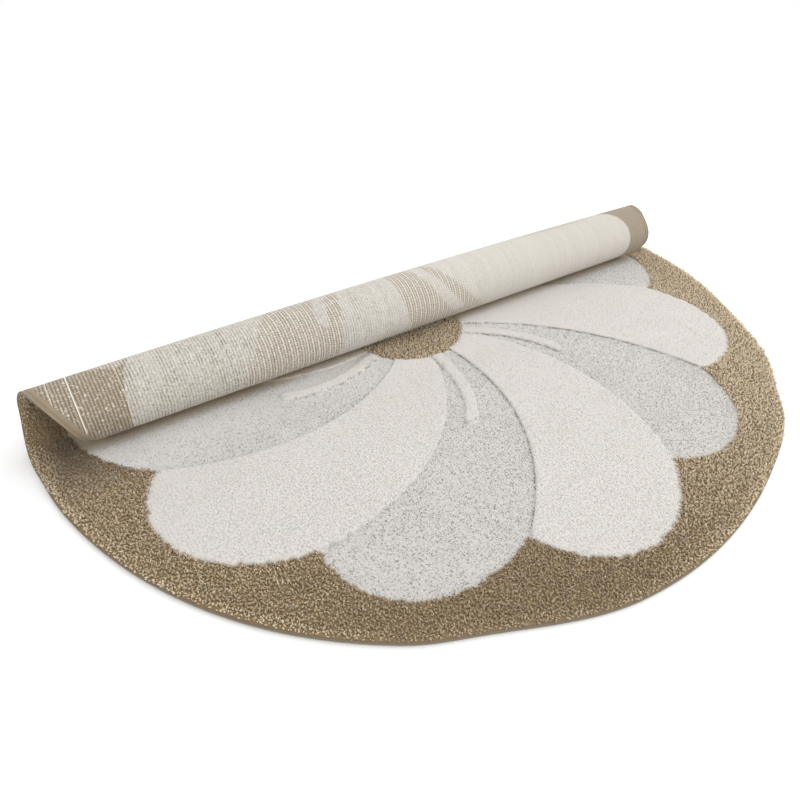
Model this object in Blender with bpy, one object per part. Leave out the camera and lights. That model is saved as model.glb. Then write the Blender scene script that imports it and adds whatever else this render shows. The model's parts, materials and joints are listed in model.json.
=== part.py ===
# A round flower rug, 1.2 m across, lying on a floor at z = 0 with its far half rolled up towards the near half.
# The rug is one woven cloth with a carved pile, and an edge tape is sewn round it.
# Both solids are drawn flat, as plans with a height at each point, and then carried round the roll.
# Plan coordinates are U along the roll and V across it, in metres from the middle of the rug.
# Every length is in metres. The origin is the middle of the bottom of the whole rug's box.

import math

import bpy
from mathutils import Vector
from mathutils.geometry import delaunay_2d_cdt

# The rug as it was made
RADIUS = 0.600
RIM_SHAPE = (
    # angle round the rug in degrees, how far the rim stands out there
    (0, 0.0050),
    (8, -0.0020),
    (16, -0.0165),
    (18, -0.0145),
    (24, 0.0090),
    (34, 0.0080),
    (60, 0.0000),
    (120, 0.0000),
    (150, -0.0085),
    (157, -0.0080),
    (165, -0.0020),
    (172, 0.0005),
    (179, 0.0050),
    (187, 0.0010),
    (200, -0.0006),
    (222, 0.0012),
    (236, 0.0004),
    (246, -0.0064),
    (262, 0.0034),
    (290, -0.0024),
    (303, 0.0026),
    (311, -0.0016),
    (319, 0.0016),
    (332, -0.0048),
    (350, 0.0036),
)

# Heights above the back of the cloth
BORDER_HEIGHT = 0.0100
CREAM_HEIGHT = 0.0092
GREY_HEIGHT = 0.0064
RIM_HEIGHT = 0.0076
RIM_ROUNDING = 0.0050
CARVE_WIDTH = 0.0018

# The edge tape: a band under the edge, and a low wall round it that the pile hangs over
GAP = 0.0003
TAPE_BAND = 0.0110
TAPE_THICK = 0.0008
TAPE_WALL = 0.0018
TAPE_WALL_HEIGHT = 0.0050
STEEP = 0.0002

# The flower: a brown disc, and six cream and six grey petals in turn
DISC_RADIUS = 0.099
LOBE_LEAN = 0.85
LOBE_ROUNDNESS = 0.90
SWIRL_BEND = 1.15
PETAL_EDGES = (
    # angle and radius where two petals meet outside, degrees that the edge turns on its
    # way in, and how far the next petal's lobe rises past those ends
    (16.5, 0.485, 25.4, 0.076),
    (45.8, 0.490, 32.0, 0.062),
    (73.9, 0.484, 32.0, 0.067),
    (101.8, 0.490, 34.0, 0.062),
    (132.6, 0.484, 29.5, 0.066),
    (160.5, 0.483, 37.5, 0.070),
    (194.2, 0.482, 33.5, 0.066),
    (225.2, 0.494, 37.5, 0.062),
    (254.3, 0.483, 30.0, 0.072),
    (284.6, 0.486, 33.0, 0.056),
    (313.0, 0.489, 21.5, 0.067),
    (343.8, 0.487, 24.0, 0.062),
)
# A cream petal follows each even row, and a grey one each odd row.

# One raised cream stripe in each grey petal, from the disc outwards: how many degrees past the
# petal's first edge each one starts, and how many it turns, from the first grey petal to the last
STRIPE_STARTS = (5.0, 5.0, 8.7, 5.0, 5.0, 5.0)
STRIPE_TURNS = (11.0, 11.0, 13.3, 11.2, 10.6, 11.0)
STRIPE_BEND = 2.0
STRIPE_END = 0.274
STRIPE_WIDTH = 0.020

# The roll: its back face starts at the floor and winds inwards
ROLL_FOOT = -0.0020
ROLL_RADIUS = 0.0563
ROLL_PITCH = 0.0108
ROLL_THINNING = 0.060
ROLL_STEP = 0.014
ROLL_BAY = 0.150

# How finely curves are cut
RIM_STEP = 3.0
CURVE_STEP = 0.022
PLAN_SCALE = 1000.0
PLAN_TOLERANCE = 1e-3


def polar(angle, radius):
    """The plan point at an angle in degrees and a radius."""
    turn = math.radians(angle)
    return (radius * math.cos(turn), radius * math.sin(turn))


def eased(share):
    """Runs from 0 to 1 with level ends."""
    return (1.0 - math.cos(math.pi * share)) / 2.0


def rim_radius(angle):
    """The rug's radius at an angle in degrees, eased between the rows of RIM_SHAPE."""
    angle %= 360.0
    rows = RIM_SHAPE + ((360 + RIM_SHAPE[0][0], RIM_SHAPE[0][1]),)
    for (low, out_low), (high, out_high) in zip(rows, rows[1:]):
        if low <= angle <= high:
            share = eased((angle - low) / (high - low))
            return RADIUS + out_low + (out_high - out_low) * share
    return RADIUS


def angle_of(u, v):
    return math.degrees(math.atan2(v, u)) % 360.0


def depth_inside(u, v):
    """How far a plan point lies inside the rim, which is cut into straight sides."""
    angle = angle_of(u, v)
    low = math.floor(angle / RIM_STEP) * RIM_STEP
    first = rim_radius(low)
    second = rim_radius(low + RIM_STEP)
    before = math.radians(angle - low)
    after = math.radians(low + RIM_STEP - angle)
    whole = first * second * math.sin(math.radians(RIM_STEP))
    return whole / (first * math.sin(before) + second * math.sin(after)) - math.hypot(u, v)


def rim_ring(inset):
    """A closed ring of plan points that follows the rim, that far inside it."""
    count = round(360.0 / RIM_STEP)
    return [
        polar(i * RIM_STEP, rim_radius(i * RIM_STEP) - inset) for i in range(count)
    ]


def edge_angle(row, radius):
    """The angle of a petal edge at a radius."""
    outer_angle, outer_radius, turn, _ = row
    share = (radius - DISC_RADIUS) / (outer_radius - DISC_RADIUS)
    share = min(max(share, 0.0), 1.0)
    return outer_angle + turn * (1.0 - share**SWIRL_BEND)


def petal_rows(index):
    """The two edges of a petal, with the second one's angle above the first's."""
    first = PETAL_EDGES[index]
    second = PETAL_EDGES[(index + 1) % len(PETAL_EDGES)]
    if second[0] < first[0]:
        second = (second[0] + 360.0, *second[1:])
    return first, second


def lobe_radius(first, second, angle):
    """The outer end of a petal, a rounded lobe between the ends of its two edges."""
    share = (angle - first[0]) / (second[0] - first[0])
    share = min(max(share, 0.0), 1.0)
    base = first[1] + (second[1] - first[1]) * share
    swell = max(math.sin(math.pi * share**LOBE_LEAN), 0.0)
    return base + first[3] * swell**LOBE_ROUNDNESS


def petal_at(u, v):
    """The index of the petal that covers a plan point, or None on the border and the disc."""
    radius = math.hypot(u, v)
    if radius < DISC_RADIUS:
        return None
    for index in range(len(PETAL_EDGES)):
        first, second = petal_rows(index)
        angle = angle_of(u, v)
        low = edge_angle(first, radius)
        high = edge_angle(second, radius)
        while angle < low:
            angle += 360.0
        if angle < high:
            inside = radius < min(first[1], second[1])
            return index if inside or radius < lobe_radius(first, second, angle) else None
    return None


def stripe_share(radius):
    """How far along a stripe a radius is, from 0 at the disc to 1 at the stripe's end."""
    return max(radius - DISC_RADIUS, 0.0) / (STRIPE_END - DISC_RADIUS)


def stripe_angle(index, radius):
    """The angle of the middle of a grey petal's raised stripe at a radius."""
    start = edge_angle(PETAL_EDGES[index], DISC_RADIUS) + STRIPE_STARTS[index // 2]
    return start - STRIPE_TURNS[index // 2] * stripe_share(radius) ** STRIPE_BEND


def stripe_length(index, radius):
    """The length of a stripe's middle line for each metre outwards."""
    slope = STRIPE_BEND * stripe_share(radius) ** (STRIPE_BEND - 1.0)
    slope *= math.radians(STRIPE_TURNS[index // 2]) / (STRIPE_END - DISC_RADIUS)
    return math.hypot(1.0, slope * radius)


def side_offset(u, v, angle):
    """How far a plan point lies past an angle, along its own circle."""
    off = (angle_of(u, v) - angle + 180.0) % 360.0 - 180.0
    return math.radians(off) * math.hypot(u, v)


def on_stripe(index, u, v):
    """True where a plan point in a grey petal lies on its raised stripe."""
    radius = math.hypot(u, v)
    length = stripe_length(index, radius)
    across = side_offset(u, v, stripe_angle(index, radius)) / length
    past = max(radius - (STRIPE_END - STRIPE_WIDTH / 2.0), 0.0) * length
    return math.hypot(across, past) < STRIPE_WIDTH / 2.0


def region_height(u, v):
    """The height of the pile at a plan point, away from the rim."""
    petal = petal_at(u, v)
    if petal is None:
        return BORDER_HEIGHT
    if petal % 2 == 0 or on_stripe(petal, u, v):
        return CREAM_HEIGHT
    return GREY_HEIGHT


def pile_height(u, v):
    """The top of the cloth: carved pile that is rounded down at the rim."""
    depth = depth_inside(u, v)
    if depth < RIM_ROUNDING - GAP:
        share = max(depth, 0.0) / RIM_ROUNDING
        return RIM_HEIGHT + (BORDER_HEIGHT - RIM_HEIGHT) * share
    return region_height(u, v)


def stepped(depth, steps, inner):
    """A height by depth inside the rim. steps are pairs of depth and height, outermost first."""
    for limit, height in steps:
        if depth < limit:
            return height
    return inner


# Where the back of the cloth steps up over the tape, measured in from the rim
OVER_WALL = TAPE_WALL + 2.0 * GAP
OVER_BAND = TAPE_BAND + GAP


def cloth_back(u, v):
    """The bottom of the cloth: flat, with room for the tape's band and wall at the rim."""
    wall_top = TAPE_WALL_HEIGHT + GAP
    band_top = TAPE_THICK + GAP
    steps = (
        (OVER_WALL + STEEP / 2.0, wall_top),
        (OVER_BAND + STEEP / 2.0, band_top),
    )
    return stepped(depth_inside(u, v), steps, 0.0)


def tape_top(u, v):
    """The top of the tape: its wall, and the thin band inside it."""
    depth = depth_inside(u, v)
    return TAPE_WALL_HEIGHT if depth < TAPE_WALL + GAP - STEEP / 2.0 else TAPE_THICK


def tape_bottom(u, v):
    return 0.0


def roll_point(u, run, height):
    """The place of a point that is wound onto the roll, run metres along the cloth."""
    size = 1.0 - ROLL_THINNING * (u / RADIUS) ** 2
    run /= size
    left = ROLL_RADIUS**2 - ROLL_PITCH * run / math.pi
    turn = (ROLL_RADIUS - math.sqrt(left)) * 2.0 * math.pi / ROLL_PITCH
    radius = (ROLL_RADIUS - ROLL_PITCH * turn / (2.0 * math.pi)) * size - height
    across = ROLL_FOOT + radius * math.sin(turn)
    return Vector((u, across, ROLL_RADIUS * size - radius * math.cos(turn)))


def placed(u, v, height):
    """Carries a plan point at a height to its place. The roll is a chain of flat strips."""
    if v <= ROLL_FOOT:
        return Vector((u, v, height))
    strip = math.floor((v - ROLL_FOOT) / ROLL_STEP)
    share = (v - ROLL_FOOT) / ROLL_STEP - strip
    near = roll_point(u, strip * ROLL_STEP, height)
    far = roll_point(u, (strip + 1) * ROLL_STEP, height)
    return near.lerp(far, share)


def strip_lines():
    """The straight lines where one flat strip of the roll meets the next, cut into bays."""
    reach = RADIUS * 1.05
    count = math.ceil((reach - ROLL_FOOT) / ROLL_STEP)
    heights = [ROLL_FOOT + i * ROLL_STEP for i in range(count)]
    bays = math.ceil(reach / ROLL_BAY)
    stops = [ROLL_BAY * i for i in range(-bays, bays + 1)]
    return [[(u, v) for u in stops] for v in heights]


def along(start, end, point_at):
    """Points of a curve from one parameter to another, about CURVE_STEP apart."""
    fine = [point_at(start + (end - start) * i / 40.0) for i in range(41)]
    length = sum(math.dist(a, b) for a, b in zip(fine, fine[1:]))
    count = max(2, math.ceil(length / CURVE_STEP))
    return [point_at(start + (end - start) * i / count) for i in range(count + 1)]


def shifted(line, distance):
    """A line of plan points moved sideways by a distance, to its left if positive."""
    moved = []
    for i, point in enumerate(line):
        before = line[max(i - 1, 0)]
        after = line[min(i + 1, len(line) - 1)]
        run = math.dist(before, after)
        side = ((before[1] - after[1]) / run, (after[0] - before[0]) / run)
        moved.append((point[0] + side[0] * distance, point[1] + side[1] * distance))
    return moved


def both_sides(line):
    """The two creases of a carved step, one on each side of the line between two heights."""
    half = CARVE_WIDTH / 2.0
    return [shifted(line, half), shifted(line, -half)]


def petal_creases():
    """The carved steps along the petals' edges and round their lobes."""
    lines = []
    for index in range(len(PETAL_EDGES)):
        first, second = petal_rows(index)
        start = DISC_RADIUS + CARVE_WIDTH
        stop = first[1] - CARVE_WIDTH

        def edge_point(radius, row=first):
            return polar(edge_angle(row, radius), radius)

        def lobe_point(angle, rows=(first, second)):
            return polar(angle, lobe_radius(*rows, angle))

        lines += both_sides(along(start, stop, edge_point))
        margin = 0.35
        lines += both_sides(along(first[0] + margin, second[0] - margin, lobe_point))
    return lines


def stripe_creases():
    """The carved steps along both sides of each raised stripe and round its end."""
    lines = []
    half = STRIPE_WIDTH / 2.0
    for index in range(1, len(PETAL_EDGES), 2):

        def middle(radius, index=index):
            return polar(stripe_angle(index, radius), radius)

        line = along(DISC_RADIUS + 2.0 * CARVE_WIDTH, STRIPE_END - half, middle)
        centre = line[-1]
        run = math.dist(line[-2], centre)
        ahead = ((centre[0] - line[-2][0]) / run, (centre[1] - line[-2][1]) / run)
        for grow in (-CARVE_WIDTH / 2.0, CARVE_WIDTH / 2.0):
            width = half + grow
            end = []
            for degrees in (-60.0, -20.0, 20.0, 60.0):
                side = width * math.sin(math.radians(degrees))
                front = width * math.cos(math.radians(degrees))
                end.append(
                    (
                        centre[0] + ahead[0] * front - ahead[1] * side,
                        centre[1] + ahead[1] * front + ahead[0] * side,
                    )
                )
            right = [
                point
                for point in shifted(line, -width)
                if side_offset(*point, edge_angle(PETAL_EDGES[index], math.hypot(*point)))
                > 2.0 * CARVE_WIDTH
            ]
            left = shifted(line, width)
            lines.append(right + end + left[::-1])
    return lines


def disc_creases():
    """The carved step round the brown disc, as two rings."""
    rings = []
    for radius in (DISC_RADIUS - CARVE_WIDTH / 2.0, DISC_RADIUS + CARVE_WIDTH / 2.0):
        count = round(2.0 * math.pi * radius / CURVE_STEP)
        rings.append([polar(360.0 * i / count, radius) for i in range(count)])
    return rings


def triangulated(rings, lines, keep):
    """Splits the plan into triangles that no ring or line crosses, and keeps those wanted."""
    points = []
    edges = []
    for path, closed in [(r, True) for r in rings] + [(line, False) for line in lines]:
        base = len(points)
        points += [Vector(p) * PLAN_SCALE for p in path]
        edges += [(base + i, base + i + 1) for i in range(len(path) - 1)]
        if closed:
            edges.append((base + len(path) - 1, base))
    found = delaunay_2d_cdt(points, edges, [], 0, PLAN_TOLERANCE)
    plan = [(p.x / PLAN_SCALE, p.y / PLAN_SCALE) for p in found[0]]
    triangles = []
    for face in found[2]:
        corners = [plan[i] for i in face]
        middle = (sum(c[0] for c in corners) / 3.0, sum(c[1] for c in corners) / 3.0)
        (ax, ay), (bx, by), (cx, cy) = corners
        turn = (bx - ax) * (cy - ay) - (by - ay) * (cx - ax)
        if keep(*middle):
            triangles.append(tuple(face) if turn > 0 else tuple(reversed(face)))
    return plan, triangles


def open_edges(triangles):
    """The edges that only one triangle has, in that triangle's direction."""
    directed = {
        (face[i], face[(i + 1) % 3]) for face in triangles for i in range(3)
    }
    return [(a, b) for a, b in directed if (b, a) not in directed]


def slab(name, top_plan, bottom_plan, top_height, bottom_height, material):
    """A closed solid between two plans with the same outline, carried to its place."""
    verts = []
    faces = []
    by_place = {}
    for (plan, triangles), height, is_top in (
        (top_plan, top_height, True),
        (bottom_plan, bottom_height, False),
    ):
        used = sorted({i for face in triangles for i in face})
        index = {}
        for i in used:
            index[i] = len(verts)
            verts.append(placed(*plan[i], height(*plan[i])))
        for face in triangles:
            corners = [index[i] for i in face]
            faces.append(corners if is_top else corners[::-1])
        for a, b in open_edges(triangles):
            key = tuple(round(x * PLAN_SCALE, 2) for x in (*plan[a], *plan[b]))
            by_place.setdefault(key, {})[is_top] = (index[a], index[b])
    for pair in by_place.values():
        top_a, top_b = pair[True]
        low_a, low_b = pair[False]
        faces.append([top_b, top_a, low_a])
        faces.append([top_b, low_a, low_b])
    mesh = bpy.data.meshes.new(name)
    mesh.from_pydata(verts, [], faces)
    mesh.update()
    mesh.materials.append(material)
    solid = bpy.data.objects.new(name, mesh)
    bpy.context.scene.collection.objects.link(solid)
    return solid


def plain_material(name, colour, roughness):
    """A Principled material of one colour."""
    material = bpy.data.materials.new(name)
    material.use_nodes = True
    shader = material.node_tree.nodes["Principled BSDF"]
    shader.inputs["Base Color"].default_value = (*colour, 1.0)
    shader.inputs["Roughness"].default_value = roughness
    shader.inputs["Metallic"].default_value = 0.0
    return material


def make_cloth():
    """The woven cloth with its carved pile, one solid."""
    rim = rim_ring(0.0)
    top_rings = [rim, rim_ring(RIM_ROUNDING)] + disc_creases()
    back_insets = (OVER_WALL, OVER_WALL + STEEP, OVER_BAND, OVER_BAND + STEEP)
    back_rings = [rim] + [rim_ring(inset) for inset in back_insets]

    def inside(u, v):
        return depth_inside(u, v) > 0.0

    creases = petal_creases() + stripe_creases()
    top = triangulated(top_rings, strip_lines() + creases, inside)
    back = triangulated(back_rings, strip_lines(), inside)
    material = plain_material("rug_pile", (0.62, 0.56, 0.47), 0.95)
    return slab("rug_cloth", top, back, pile_height, cloth_back, material)


def make_tape():
    """The sewn edge tape: one closed band that follows the rim round the roll."""
    outer = rim_ring(GAP)
    inner = rim_ring(TAPE_BAND)
    wall_rings = [rim_ring(TAPE_WALL + GAP - STEEP), rim_ring(TAPE_WALL + GAP)]

    def on_band(u, v):
        return GAP < depth_inside(u, v) < TAPE_BAND

    top = triangulated([outer, inner] + wall_rings, strip_lines(), on_band)
    bottom = triangulated([outer, inner], strip_lines(), on_band)
    material = plain_material("rug_tape", (0.36, 0.29, 0.21), 0.85)
    return slab("edge_tape", top, bottom, tape_top, tape_bottom, material)


def centre_on_box(solids):
    """Moves the meshes so that the origin is the middle of the bottom of their shared box."""
    points = [v.co for solid in solids for v in solid.data.vertices]
    low = Vector([min(p[i] for p in points) for i in range(3)])
    high = Vector([max(p[i] for p in points) for i in range(3)])
    middle = (low + high) / 2.0
    for solid in solids:
        for vertex in solid.data.vertices:
            vertex.co.x -= middle.x
            vertex.co.y -= middle.y
    print("rug centre", round(-middle.x, 6), round(-middle.y, 6), "height", high.z - low.z)


def main():
    for old in list(bpy.data.objects):
        bpy.data.objects.remove(old, do_unlink=True)
    solids = [make_cloth(), make_tape()]
    centre_on_box(solids)


main()
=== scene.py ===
# The looks of a round flower rug, 1.2 m across, whose far half is rolled up over its near half.
# Everything is drawn on the flat rug, as a plan point (u, v) with a height in the cloth, and then
# carried to its place by the function placed(), which winds the far half onto the roll.
# U runs along the roll and V across it, in metres from the middle of the rug.

import json
import math

import bpy
import numpy as np
from mathutils import Matrix, Vector
from mathutils.geometry import delaunay_2d_cdt

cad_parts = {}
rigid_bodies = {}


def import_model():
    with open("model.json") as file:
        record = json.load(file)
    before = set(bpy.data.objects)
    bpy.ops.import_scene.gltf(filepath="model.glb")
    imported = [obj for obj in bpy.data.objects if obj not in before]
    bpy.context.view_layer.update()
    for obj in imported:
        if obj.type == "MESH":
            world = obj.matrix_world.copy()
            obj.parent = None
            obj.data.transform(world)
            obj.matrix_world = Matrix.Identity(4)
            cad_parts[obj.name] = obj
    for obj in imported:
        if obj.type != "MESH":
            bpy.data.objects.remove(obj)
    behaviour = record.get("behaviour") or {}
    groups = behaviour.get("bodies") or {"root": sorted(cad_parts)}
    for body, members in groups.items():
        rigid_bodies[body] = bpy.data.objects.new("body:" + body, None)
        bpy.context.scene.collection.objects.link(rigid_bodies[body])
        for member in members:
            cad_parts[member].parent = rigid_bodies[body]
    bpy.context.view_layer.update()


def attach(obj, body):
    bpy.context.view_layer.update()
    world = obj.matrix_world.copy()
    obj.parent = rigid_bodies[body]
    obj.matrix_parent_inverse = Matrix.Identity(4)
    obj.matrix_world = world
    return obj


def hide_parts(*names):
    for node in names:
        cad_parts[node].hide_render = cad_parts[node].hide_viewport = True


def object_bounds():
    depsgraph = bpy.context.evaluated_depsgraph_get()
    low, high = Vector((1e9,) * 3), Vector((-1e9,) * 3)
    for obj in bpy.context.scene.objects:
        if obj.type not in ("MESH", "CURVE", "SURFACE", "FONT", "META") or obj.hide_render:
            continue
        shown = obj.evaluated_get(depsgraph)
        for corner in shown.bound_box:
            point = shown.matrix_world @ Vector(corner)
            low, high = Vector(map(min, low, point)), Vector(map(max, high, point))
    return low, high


# The rug as it was made: the same values as in the solid model
RADIUS = 0.600
RIM_SHAPE = (
    # angle round the rug in degrees, how far the rim stands out there
    (0, 0.0050),
    (8, -0.0020),
    (16, -0.0165),
    (18, -0.0145),
    (24, 0.0090),
    (34, 0.0080),
    (60, 0.0000),
    (120, 0.0000),
    (150, -0.0085),
    (157, -0.0080),
    (165, -0.0020),
    (172, 0.0005),
    (179, 0.0050),
    (187, 0.0010),
    (200, -0.0006),
    (222, 0.0012),
    (236, 0.0004),
    (246, -0.0064),
    (262, 0.0034),
    (290, -0.0024),
    (303, 0.0026),
    (311, -0.0016),
    (319, 0.0016),
    (332, -0.0048),
    (350, 0.0036),
    (360, 0.0050),
)
BORDER_HEIGHT = 0.0100
CREAM_HEIGHT = 0.0092
GREY_HEIGHT = 0.0064
DISC_RADIUS = 0.099
LOBE_LEAN = 0.85
LOBE_ROUNDNESS = 0.90
SWIRL_BEND = 1.15
PETAL_EDGES = (
    # angle and radius where two petals meet outside, degrees that the edge turns on its
    # way in, and how far the next petal's lobe rises past those ends
    (16.5, 0.485, 25.4, 0.076),
    (45.8, 0.490, 32.0, 0.062),
    (73.9, 0.484, 32.0, 0.067),
    (101.8, 0.490, 34.0, 0.062),
    (132.6, 0.484, 29.5, 0.066),
    (160.5, 0.483, 37.5, 0.070),
    (194.2, 0.482, 33.5, 0.066),
    (225.2, 0.494, 37.5, 0.062),
    (254.3, 0.483, 30.0, 0.072),
    (284.6, 0.486, 33.0, 0.056),
    (313.0, 0.489, 21.5, 0.067),
    (343.8, 0.487, 24.0, 0.062),
)
# A cream petal follows each even row, and a grey one each odd row.
# For each grey petal's raised stripe: how many degrees past the petal's first edge it starts,
# how many it turns, and on which side of it the pile is carved, -1 where the angles are smaller
STRIPE_STARTS = (5.0, 5.0, 8.7, 5.0, 5.0, 5.0)
STRIPE_TURNS = (11.0, 11.0, 13.3, 11.2, 10.6, 11.0)
STRIPE_SIDES = (-1.0, -1.0, 1.0, -1.0, -1.0, -1.0)
STRIPE_BEND = 2.0
STRIPE_END = 0.274
STRIPE_WIDTH = 0.020
ROLL_FOOT = -0.0020
ROLL_RADIUS = 0.0563
ROLL_PITCH = 0.0108
ROLL_THINNING = 0.060
TAPE_BAND = 0.0110

# The camera of the photograph, measured from the middle of the rug
CAMERA_DISTANCE = 0.9594
CAMERA_HEIGHT = 0.6102
CAMERA_BEARING = 33.87
CAMERA_YAW = -0.45
CAMERA_PITCH = 38.63
CAMERA_ROLL = 0.36
CAMERA_LENS = 29.0475

# The kinds of pile
BROWN, CREAM, GREY = 0, 1, 2

# How much of the carved line shows its dark tufts, a painted shade in the groove, for each cream
# petal's first edge. An edge with a share below GROOVED_FROM is a plain step, with no groove of its
# own.
GROOVE_SHARES = (0.65, 0.65, 0.65, 0.25, 0.65, 0.70)
GROOVED_FROM = 0.5
GROOVE_HALF_WIDTH = 0.0011
GROOVE_CLEAR = 0.0004
GROOVE_BOTTOM = GREY_HEIGHT - 0.0009

# The ground that the tufts stand on: its height under brown, cream and grey pile and at the rim
GROUND_HEIGHTS = (BORDER_HEIGHT - 0.0042, CREAM_HEIGHT - 0.0011, GREY_HEIGHT - 0.0012)
GROUND_AT_RIM = 0.0052
GROUND_SLOPE = 0.006

# Points beside the petals' edges: how far from a carved edge and from a plain one, and how far apart
CARVED_SIDES = (-0.0015, -0.0008, 0.0008, 0.0015)
PLAIN_SIDES = (-0.0005, 0.0005)
EDGE_SPACING = 0.003

# The brown pile: its root, its tip at the rim, and how far from the rim the tips reach full height
BROWN_ROOT = 0.0048
BROWN_RIM_TIP = 0.0074
BROWN_RIM_WIDTH = 0.008
# Where the cloth leaves the floor, the tips stay no higher than this
TIP_AT_FOOT = 0.0099

# The length of a soft tuft, and of the dark tufts that paint the shade in a carved line
SOFT_TUFT = 0.0017
GROOVE_TUFT = 0.0045

# Points are drawn between these two ends along V. The soft pile stops at PILE_REACH, because the
# roll hides the rest of it, and the brown pile of the roll is as deep as ROLLED_PILE from the rim.
NEAR_END = -0.61
FAR_END = 0.62
PILE_REACH = 0.03
ROLLED_PILE = 0.13

# The cloth's edge inside the tape, and its back where the tape covers it
CLOTH_INSET = 0.0016
COVERED_BACK = 0.0011
BESIDE_TAPE = 0.0004
CLEAR_OF_TAPE = 0.0035

# The middle of the painted shade that darkens the brown pile at the front, in the model
PAINTED_SHADE_MIDDLE = (-0.20, -0.27, 0.0)

# The woven back: ribs along V, each a row of small knots
RIB = 0.00447
KNOT = 0.0035
RIB_DEPTH = 0.0004

# The slanted ribs of the tape, and the turns of the sewing thread
TAPE_RIB = 0.0012
THREAD_TWIST = 0.0006

LIGHT_THREADS = (
    # threads along V that stand out on the back: place along U, width, strength
    (-0.529, 0.0009, 0.95),
    (-0.554, 0.0007, 0.55),
    (-0.469, 0.0006, 0.35),
)


def eased(share):
    """Runs from 0 to 1 with level ends."""
    return (1.0 - np.cos(math.pi * share)) / 2.0


def rim_radius(angle):
    """The rug's radius at angles in degrees, eased between the rows of RIM_SHAPE."""
    rows = np.array(RIM_SHAPE, float)
    angle = np.mod(angle, 360.0)
    row = np.clip(np.searchsorted(rows[:, 0], angle, side="right") - 1, 0, len(rows) - 2)
    share = (angle - rows[row, 0]) / (rows[row + 1, 0] - rows[row, 0])
    return RADIUS + rows[row, 1] + (rows[row + 1, 1] - rows[row, 1]) * eased(share)


def angle_of(u, v):
    return np.mod(np.degrees(np.arctan2(v, u)), 360.0)


def depth_inside(u, v):
    """How far plan points lie inside the rim."""
    return rim_radius(angle_of(u, v)) - np.hypot(u, v)


def rim_ring(angle, inset):
    """Plan points at angles in degrees, that far inside the rim."""
    turn = np.radians(angle)
    return np.stack([np.cos(turn), np.sin(turn)], axis=-1) * (rim_radius(angle) - inset)[:, None]


def edge_angle(row, radius):
    """The angle of a petal edge at each radius."""
    outer_angle, outer_radius, turn, _ = row
    share = np.clip((radius - DISC_RADIUS) / (outer_radius - DISC_RADIUS), 0.0, 1.0)
    return outer_angle + turn * (1.0 - share**SWIRL_BEND)


def petal_rows(index):
    """The two edges of a petal, with the second one's angle above the first's."""
    first = PETAL_EDGES[index]
    second = PETAL_EDGES[(index + 1) % len(PETAL_EDGES)]
    if second[0] < first[0]:
        second = (second[0] + 360.0, *second[1:])
    return first, second


def petal_at(u, v):
    """The index of the petal that covers each plan point, or -1 on the border and the disc."""
    radius = np.hypot(u, v)
    angle = angle_of(u, v)
    found = np.full(np.shape(radius), -1)
    for index in range(len(PETAL_EDGES)):
        first, second = petal_rows(index)
        low = edge_angle(first, radius)
        high = edge_angle(second, radius)
        for turned in (angle, angle + 360.0):
            share = np.clip((turned - first[0]) / (second[0] - first[0]), 0.0, 1.0)
            base = first[1] + (second[1] - first[1]) * share
            swell = np.maximum(np.sin(math.pi * share**LOBE_LEAN), 0.0)
            lobe = base + first[3] * swell**LOBE_ROUNDNESS
            inner = radius < min(first[1], second[1])
            found[(turned >= low) & (turned < high) & (inner | (radius < lobe))] = index
    found[radius < DISC_RADIUS] = -1
    return found


def turned_off(angle, other):
    """The difference of two angles in degrees, from -180 to 180."""
    return np.mod(angle - other + 180.0, 360.0) - 180.0


def stripe_share(radius):
    """How far along a stripe each radius is, from 0 at the disc to 1 at the stripe's end."""
    return np.maximum(radius - DISC_RADIUS, 0.0) / (STRIPE_END - DISC_RADIUS)


def stripe_angle(index, radius):
    """The angle of the middle of a grey petal's raised stripe at each radius."""
    start = edge_angle(PETAL_EDGES[index], DISC_RADIUS) + STRIPE_STARTS[index // 2]
    return start - STRIPE_TURNS[index // 2] * stripe_share(radius) ** STRIPE_BEND


def stripe_length(index, radius):
    """The length of a stripe's middle line for each metre outwards."""
    slope = STRIPE_BEND * stripe_share(radius) ** (STRIPE_BEND - 1.0)
    slope *= math.radians(STRIPE_TURNS[index // 2]) / (STRIPE_END - DISC_RADIUS)
    return np.hypot(1.0, slope * radius)


def stripe_side(u, v, index):
    """How far from a stripe's middle each plan point is, and how far past its end."""
    radius = np.hypot(u, v)
    length = stripe_length(index, radius)
    off = turned_off(angle_of(u, v), stripe_angle(index, radius))
    past = np.maximum(radius - (STRIPE_END - STRIPE_WIDTH / 2.0), 0.0)
    return np.radians(off) * radius / length, past * length


def stripe_groove(index, radius):
    """The angle of the carved line along a stripe at each radius."""
    aside = np.degrees(STRIPE_WIDTH / 2.0 * stripe_length(index, radius) / radius)
    angle = stripe_angle(index, radius) + STRIPE_SIDES[index // 2] * aside
    return np.maximum(angle, edge_angle(PETAL_EDGES[index], radius))


def pile_at(u, v):
    """The kind of pile at each plan point."""
    petal = petal_at(u, v)
    kind = np.where(petal < 0, BROWN, np.where(petal % 2 == 0, CREAM, GREY))
    for index in range(1, len(PETAL_EDGES), 2):
        across, past = stripe_side(u, v, index)
        kind[(petal == index) & (np.hypot(across, past) < STRIPE_WIDTH / 2.0)] = CREAM
    return kind


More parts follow.
